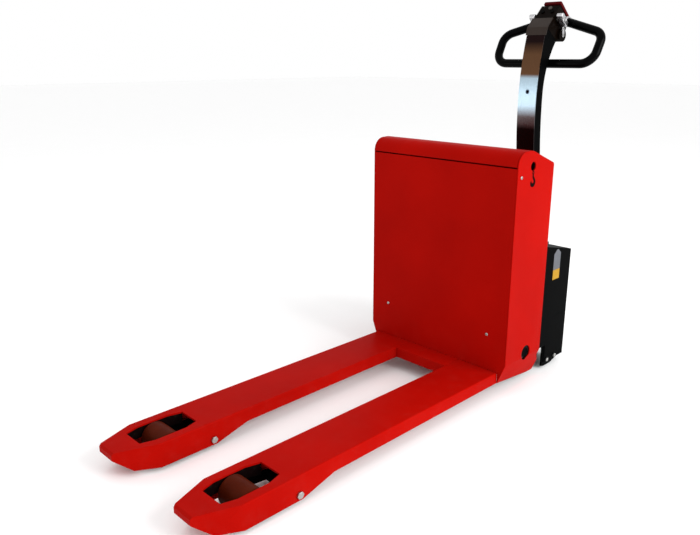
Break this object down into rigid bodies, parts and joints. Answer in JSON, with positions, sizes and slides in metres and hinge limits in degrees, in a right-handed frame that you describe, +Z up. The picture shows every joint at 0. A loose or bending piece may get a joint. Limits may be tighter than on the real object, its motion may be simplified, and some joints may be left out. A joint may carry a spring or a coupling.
{
  "type": "electric pallet truck",
  "caption": "Walk-behind electric pallet truck: two tapered forks on a tall red battery box, steered drive unit behind, upright tiller with a loop handle.",
  "frame": {"origin": "on the floor, under the middle of the truck's length and width", "axes": "+Z up, the forks point along -Y, the operator and tiller are at +Y, +X is the truck's left-hand side seen from the operator"},
  "size_m": [0.605, 1.855, 1.289],
  "materials": {
    "red_paint": "gloss powder coat",
    "black_paint": "satin powder coat",
    "black_plastic": "moulded, fine grain",
    "black_gloss": "gloss enamel",
    "brushed_strip": "brushed along its length",
    "zinc": "zinc plated",
    "raw_steel": "machined",
    "cast_dark": "painted casting",
    "aluminium_part": "die cast",
    "chrome_rod": "ground and plated",
    "roller_tread": "cast polyurethane",
    "drive_tread": "rubber tread",
    "castor_tread": "solid rubber",
    "battery_case": "moulded polypropylene",
    "button_red": "moulded",
    "button_black": "moulded",
    "button_pale": "moulded"
  },
  "bodies": {
    "chassis": {"chassis_frame": "black_paint", "drive_cover": "black_paint", "link_pins": "zinc", "skirt_bolts": "zinc", "steering_bearing": "raw_steel", "lift_cylinder": "black_gloss", "hydraulic_unit": "cast_dark", "motor_controller": "aluminium_part"},
    "steering": {"gearbox": "cast_dark", "drive_motor": "cast_dark", "steering_head": "black_paint", "tiller_pivot_pin": "zinc"},
    "drive_wheel": {"drive_wheel_hub": "cast_dark", "drive_wheel_tyre": "drive_tread"},
    "tiller": {"tiller_arm": "black_paint", "tiller_strip": "brushed_strip", "strip_screws": "zinc", "head_housing": "black_plastic", "head_bracket": "raw_steel", "loop_handle": "black_gloss"},
    "throttle": {"throttle_shaft": "zinc", "throttle_wings": "aluminium_part"},
    "belly": {"belly_button": "button_red"},
    "lift_switch": {"lift_button": "button_black"},
    "lower_switch": {"lower_button": "button_black"},
    "horn_switch": {"horn_button": "button_pale"},
    "key_body": {"key": "zinc"},
    "stop": {"stop_knob": "button_red"},
    "fork_frame": {"left_fork": "red_paint", "right_fork": "red_paint", "heel_plate": "red_paint", "left_side_plate": "red_paint", "right_side_plate": "red_paint", "front_panel": "red_paint", "box_screws": "zinc", "lid_hinge_rod": "zinc", "rear_wall": "red_paint", "piston_rod": "chrome_rod", "battery_tray": "black_paint", "left_battery": "battery_case", "right_battery": "battery_case", "shaft_bushes": "raw_steel", "rocker_pivot_bolts": "zinc"},
    "lid_body": {"lid": "red_paint"},
    "linkage": {"lift_shaft": "black_paint"},
    "left_castor_swivel": {"left_castor_fork": "zinc"},
    "left_castor_roll": {"left_castor_wheel": "castor_tread"},
    "left_rod": {"left_push_rod": "zinc"},
    "left_rocker": {"left_rocker_arm": "black_paint", "left_roller_axle": "zinc"},
    "left_load_roller": {"left_roller_hub": "raw_steel", "left_roller_tyre": "roller_tread"},
    "right_castor_swivel": {"right_castor_fork": "zinc"},
    "right_castor_roll": {"right_castor_wheel": "castor_tread"},
    "right_rod": {"right_push_rod": "zinc"},
    "right_rocker": {"right_rocker_arm": "black_paint", "right_roller_axle": "zinc"},
    "right_load_roller": {"right_roller_hub": "raw_steel", "right_roller_tyre": "roller_tread"}
  },
  "joints": [
    {"name": "fork_lift", "type": "slide", "parent": "chassis", "child": "fork_frame", "axis": [0, 0, 1], "range_m": [0, 0.12]},
    {"name": "lid_hinge", "type": "hinge", "parent": "fork_frame", "child": "lid_body", "pos_m": [0, 0.4205, 0.757], "axis": [-1, 0, 0], "range_deg": [0, 50]},
    {"name": "lift_shaft_turn", "type": "hinge", "parent": "fork_frame", "child": "linkage", "pos_m": [0, 0.3425, 0.132], "axis": [-1, 0, 0], "range_deg": [0, 34.92]},
    {"name": "left_push_rod_slide", "type": "slide", "parent": "fork_frame", "child": "left_rod", "axis": [0, -1, 0], "range_m": [0, 0.0432]},
    {"name": "left_rocker_pivot", "type": "hinge", "parent": "fork_frame", "child": "left_rocker", "pos_m": [-0.19, -0.6385, 0.03], "axis": [1, 0, 0], "range_deg": [0, 69.29]},
    {"name": "left_load_roller_spin", "type": "hinge", "parent": "left_rocker", "child": "left_load_roller", "pos_m": [-0.19, -0.7585, 0.042], "axis": [1, 0, 0], "continuous": true},
    {"name": "left_castor_swivel_turn", "type": "hinge", "parent": "chassis", "child": "left_castor_swivel", "pos_m": [-0.188, 0.5375, 0.1], "axis": [0, 0, 1], "continuous": true},
    {"name": "left_castor_wheel_spin", "type": "hinge", "parent": "left_castor_swivel", "child": "left_castor_roll", "pos_m": [-0.188, 0.5595, 0.037], "axis": [1, 0, 0], "continuous": true},
    {"name": "right_push_rod_slide", "type": "slide", "parent": "fork_frame", "child": "right_rod", "axis": [0, -1, 0], "range_m": [0, 0.0432]},
    {"name": "right_rocker_pivot", "type": "hinge", "parent": "fork_frame", "child": "right_rocker", "pos_m": [0.19, -0.6385, 0.03], "axis": [1, 0, 0], "range_deg": [0, 69.29]},
    {"name": "right_load_roller_spin", "type": "hinge", "parent": "right_rocker", "child": "right_load_roller", "pos_m": [0.19, -0.7585, 0.042], "axis": [1, 0, 0], "continuous": true},
    {"name": "right_castor_swivel_turn", "type": "hinge", "parent": "chassis", "child": "right_castor_swivel", "pos_m": [0.188, 0.5375, 0.1], "axis": [0, 0, 1], "continuous": true},
    {"name": "right_castor_wheel_spin", "type": "hinge", "parent": "right_castor_swivel", "child": "right_castor_roll", "pos_m": [0.188, 0.5595, 0.037], "axis": [1, 0, 0], "continuous": true},
    {"name": "steering_turn", "type": "hinge", "parent": "chassis", "child": "steering", "pos_m": [0, 0.6425, 0.262], "axis": [0, 0, 1], "range_deg": [-90, 90]},
    {"name": "drive_wheel_spin", "type": "hinge", "parent": "steering", "child": "drive_wheel", "pos_m": [0, 0.6425, 0.115], "axis": [1, 0, 0], "continuous": true},
    {"name": "tiller_tilt", "type": "hinge", "parent": "steering", "child": "tiller", "pos_m": [0, 0.7975, 0.508], "axis": [-1, 0, 0], "range_deg": [0, 80], "stiffness_Nm_per_rad": 20, "springref_deg": -68.75},
    {"name": "throttle_turn", "type": "hinge", "parent": "tiller", "child": "throttle", "pos_m": [0, 0.8345, 1.222], "axis": [1, 0, 0], "range_deg": [-35, 35], "stiffness_Nm_per_rad": 0.6},
    {"name": "belly_button_press", "type": "slide", "parent": "tiller", "child": "belly", "axis": [0, -0.6157, -0.788], "range_m": [0, 0.008], "stiffness_N_per_m": 800},
    {"name": "lift_button_press", "type": "slide", "parent": "tiller", "child": "lift_switch", "axis": [0, 0.6943, -0.7197], "range_m": [0, 0.003], "stiffness_N_per_m": 500},
    {"name": "lower_button_press", "type": "slide", "parent": "tiller", "child": "lower_switch", "axis": [0, 0.6943, -0.7197], "range_m": [0, 0.003], "stiffness_N_per_m": 500},
    {"name": "horn_button_press", "type": "slide", "parent": "tiller", "child": "horn_switch", "axis": [0, 0.6943, -0.7197], "range_m": [0, 0.003], "stiffness_N_per_m": 500},
    {"name": "key_turn", "type": "hinge", "parent": "chassis", "child": "key_body", "pos_m": [-0.15, 0.5325, 0.47], "axis": [0, 0, 1], "range_deg": [0, 90]},
    {"name": "stop_knob_pull", "type": "slide", "parent": "chassis", "child": "stop", "axis": [0, 0, 1], "range_m": [0, 0.008]}
  ],
  "couplings": [
    {"joint": "lift_shaft_turn", "follows": "fork_lift", "rad_per_m": 5.0782},
    {"joint": "left_push_rod_slide", "follows": "fork_lift", "ratio": 0.36003},
    {"joint": "left_rocker_pivot", "follows": "fork_lift", "rad_per_m": 10.077},
    {"joint": "right_push_rod_slide", "follows": "fork_lift", "ratio": 0.36003},
    {"joint": "right_rocker_pivot", "follows": "fork_lift", "rad_per_m": 10.077}
  ]
}
